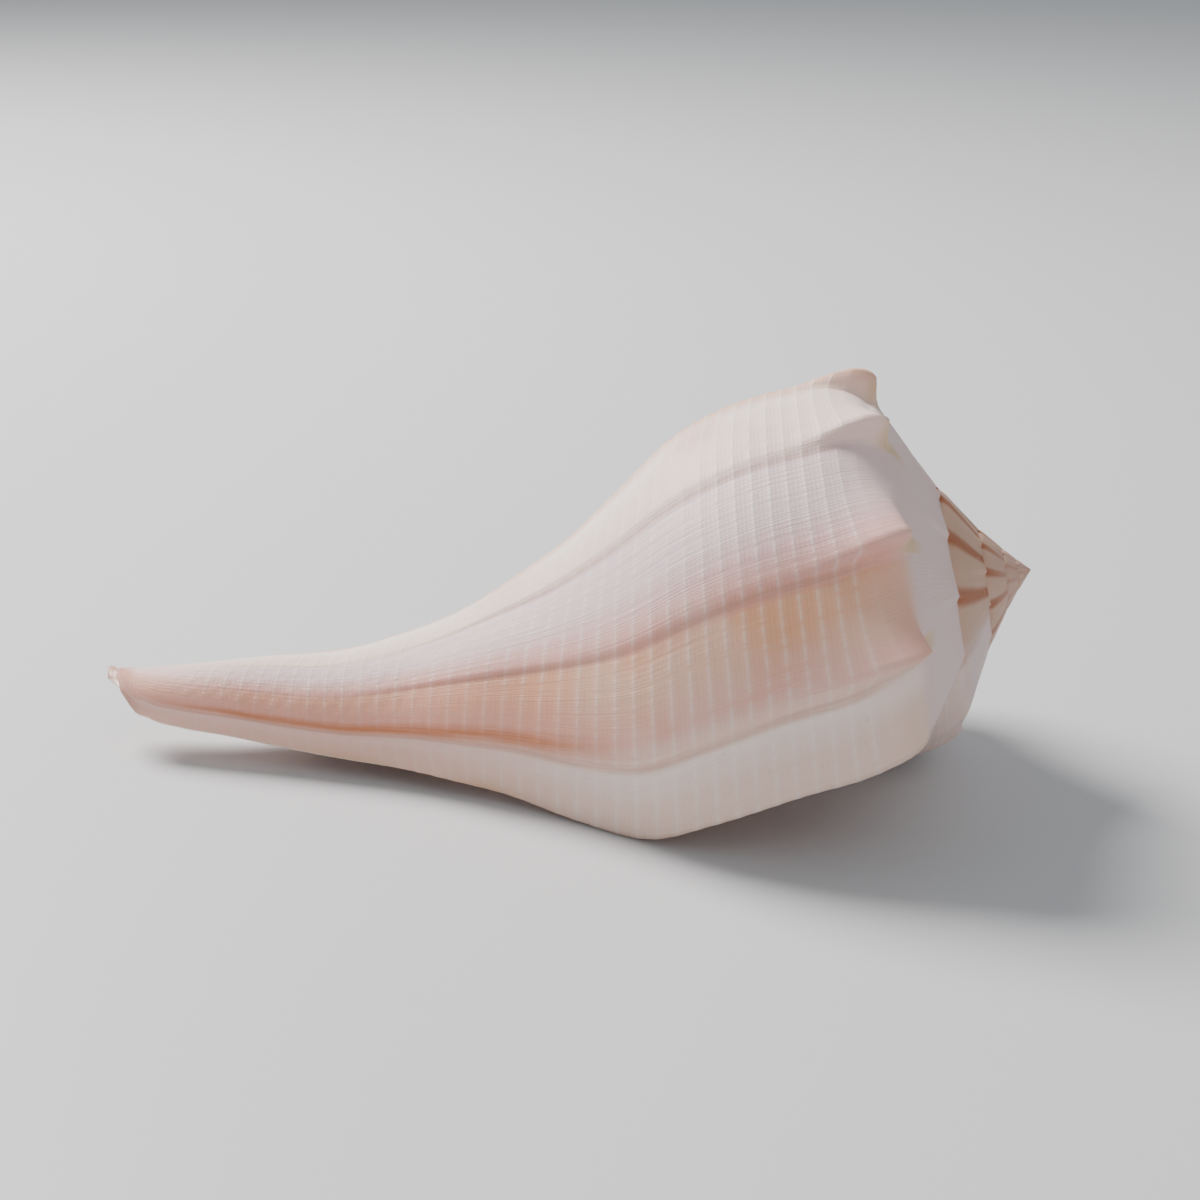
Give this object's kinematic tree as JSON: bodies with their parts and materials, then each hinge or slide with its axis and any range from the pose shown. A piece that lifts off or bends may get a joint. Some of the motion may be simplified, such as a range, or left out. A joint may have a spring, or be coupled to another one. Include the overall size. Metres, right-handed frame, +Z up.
{
  "type": "lightning whelk shell",
  "caption": "Left-handed whelk shell with a low spire, a row of blunt shoulder spines and a long open canal, lying on its aperture.",
  "frame": {"origin": "bottom centre of the shell's bounding box as it lies, on the surface it rests on", "axes": "+X towards the apex of the spire, -X towards the canal tip, +Z up from the resting surface, the outer lip towards -Y"},
  "size_m": [0.1296, 0.0658, 0.0548],
  "materials": {
    "shell": "satin, fine spiral threads"
  },
  "bodies": {
    "root": {"shell": "shell"}
  },
  "joints": []
}
